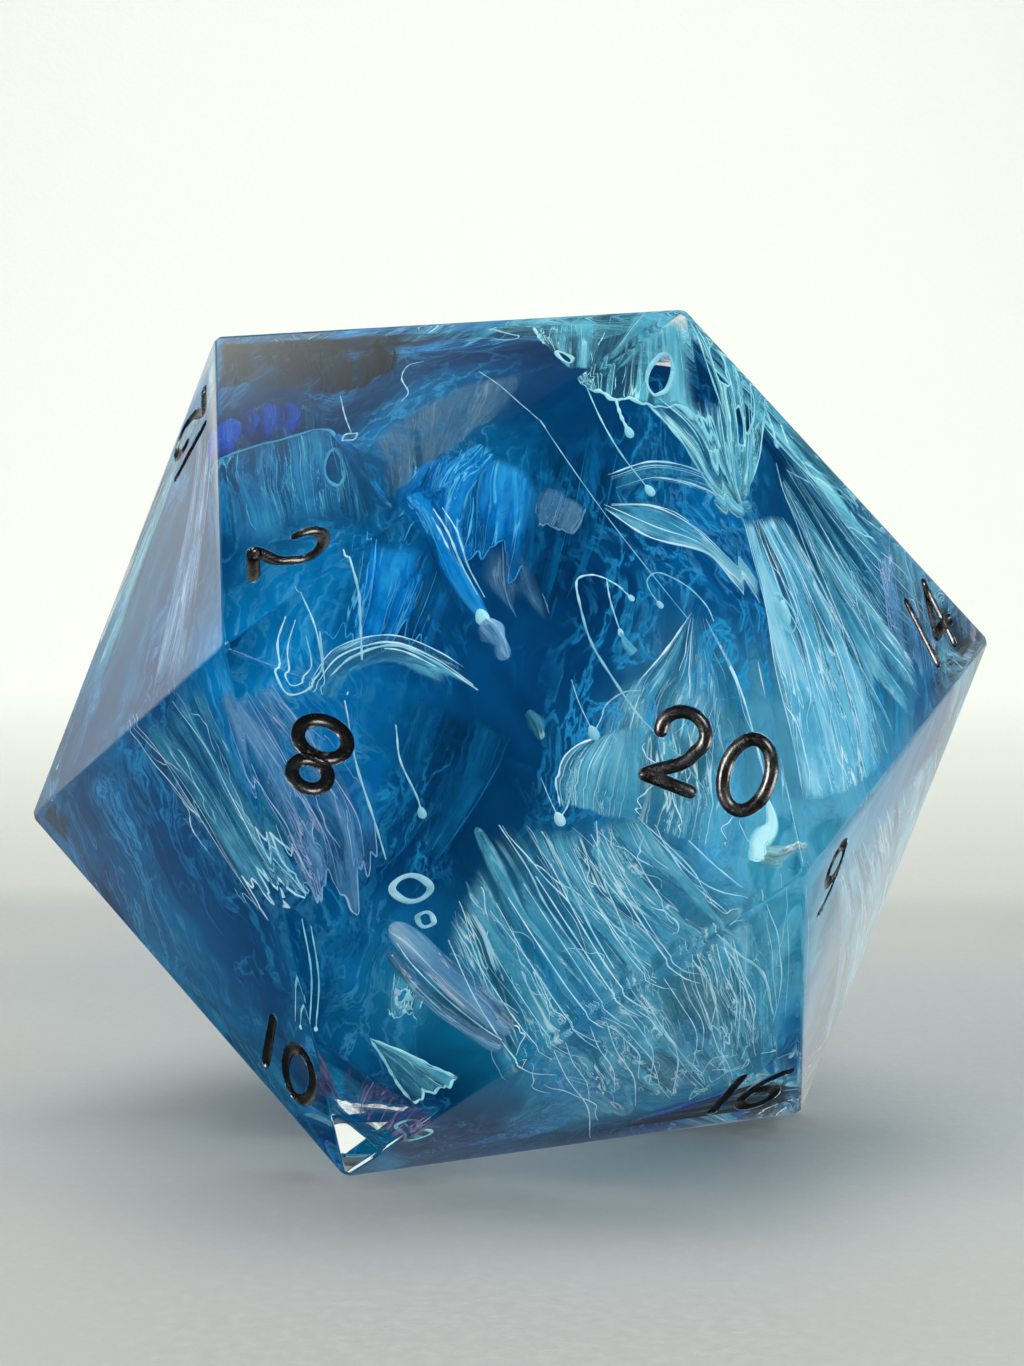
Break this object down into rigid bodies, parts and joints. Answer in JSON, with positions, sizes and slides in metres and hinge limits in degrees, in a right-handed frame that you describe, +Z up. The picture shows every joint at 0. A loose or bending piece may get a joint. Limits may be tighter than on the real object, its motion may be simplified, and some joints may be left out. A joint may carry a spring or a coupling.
{
  "type": "polyhedral die",
  "caption": "Large sharp-edged icosahedral die of clear cast resin with coloured ink plumes sealed inside and metallic painted corner numerals.",
  "frame": {"origin": "centre of the face the die rests on (the 3 face), on the table plane", "axes": "+Z up, out of the 18 face, which is level on top; -Y out of the front edge between the 20 and 8 faces; +X to the right of a viewer who looks along +Y"},
  "size_m": [0.0492, 0.0428, 0.04],
  "materials": {
    "clear_resin": "polished clear cast resin",
    "gunmetal_paint": "glossy gunmetal metallic paint",
    "ink_cloud_deep_blue": "Deep blue alcohol ink sealed in clear resin",
    "ink_curtain_cyan": "cyan ink sealed in clear resin",
    "ink_veil_white": "pale blue-white ink sealed in clear resin",
    "ink_ribbons_azure": "azure ink sealed in clear resin",
    "ink_plume_cobalt": "cobalt ink sealed in clear resin",
    "ink_drips_lavender": "lavender ink sealed in clear resin",
    "ink_plume_teal": "teal ink sealed in clear resin",
    "ink_veil_sky": "sky blue ink sealed in clear resin",
    "ink_plume_ultramarine": "ultramarine ink sealed in clear resin",
    "ink_curtain_turquoise": "turquoise ink sealed in clear resin",
    "ink_fan_white": "white ink sealed in clear resin"
  },
  "bodies": {
    "root": {"ink_cloud_deep_blue": "ink_cloud_deep_blue", "ink_curtain_cyan": "ink_curtain_cyan", "ink_curtain_turquoise": "ink_curtain_turquoise", "ink_drips_lavender": "ink_drips_lavender", "ink_fan_white": "ink_fan_white", "ink_plume_cobalt": "ink_plume_cobalt", "ink_plume_teal": "ink_plume_teal", "ink_plume_ultramarine": "ink_plume_ultramarine", "ink_ribbons_azure": "ink_ribbons_azure", "ink_veil_sky": "ink_veil_sky", "ink_veil_white": "ink_veil_white", "numeral_01": "gunmetal_paint", "numeral_02": "gunmetal_paint", "numeral_03": "gunmetal_paint", "numeral_04": "gunmetal_paint", "numeral_05": "gunmetal_paint", "numeral_06": "gunmetal_paint", "numeral_07": "gunmetal_paint", "numeral_08": "gunmetal_paint", "numeral_09": "gunmetal_paint", "numeral_10_digit_1": "gunmetal_paint", "numeral_10_digit_2": "gunmetal_paint", "numeral_11_digit_1": "gunmetal_paint", "numeral_11_digit_2": "gunmetal_paint", "numeral_12_digit_1": "gunmetal_paint", "numeral_12_digit_2": "gunmetal_paint", "numeral_13_digit_1": "gunmetal_paint", "numeral_13_digit_2": "gunmetal_paint", "numeral_14_digit_1": "gunmetal_paint", "numeral_14_digit_2": "gunmetal_paint", "numeral_15_digit_1": "gunmetal_paint", "numeral_15_digit_2": "gunmetal_paint", "numeral_16_digit_1": "gunmetal_paint", "numeral_16_digit_2": "gunmetal_paint", "numeral_17_digit_1": "gunmetal_paint", "numeral_17_digit_2": "gunmetal_paint", "numeral_18_digit_1": "gunmetal_paint", "numeral_18_digit_2": "gunmetal_paint", "numeral_19_digit_1": "gunmetal_paint", "numeral_19_digit_2": "gunmetal_paint", "numeral_20_digit_1": "gunmetal_paint", "numeral_20_digit_2": "gunmetal_paint", "resin_body": "clear_resin"}
  },
  "joints": []
}
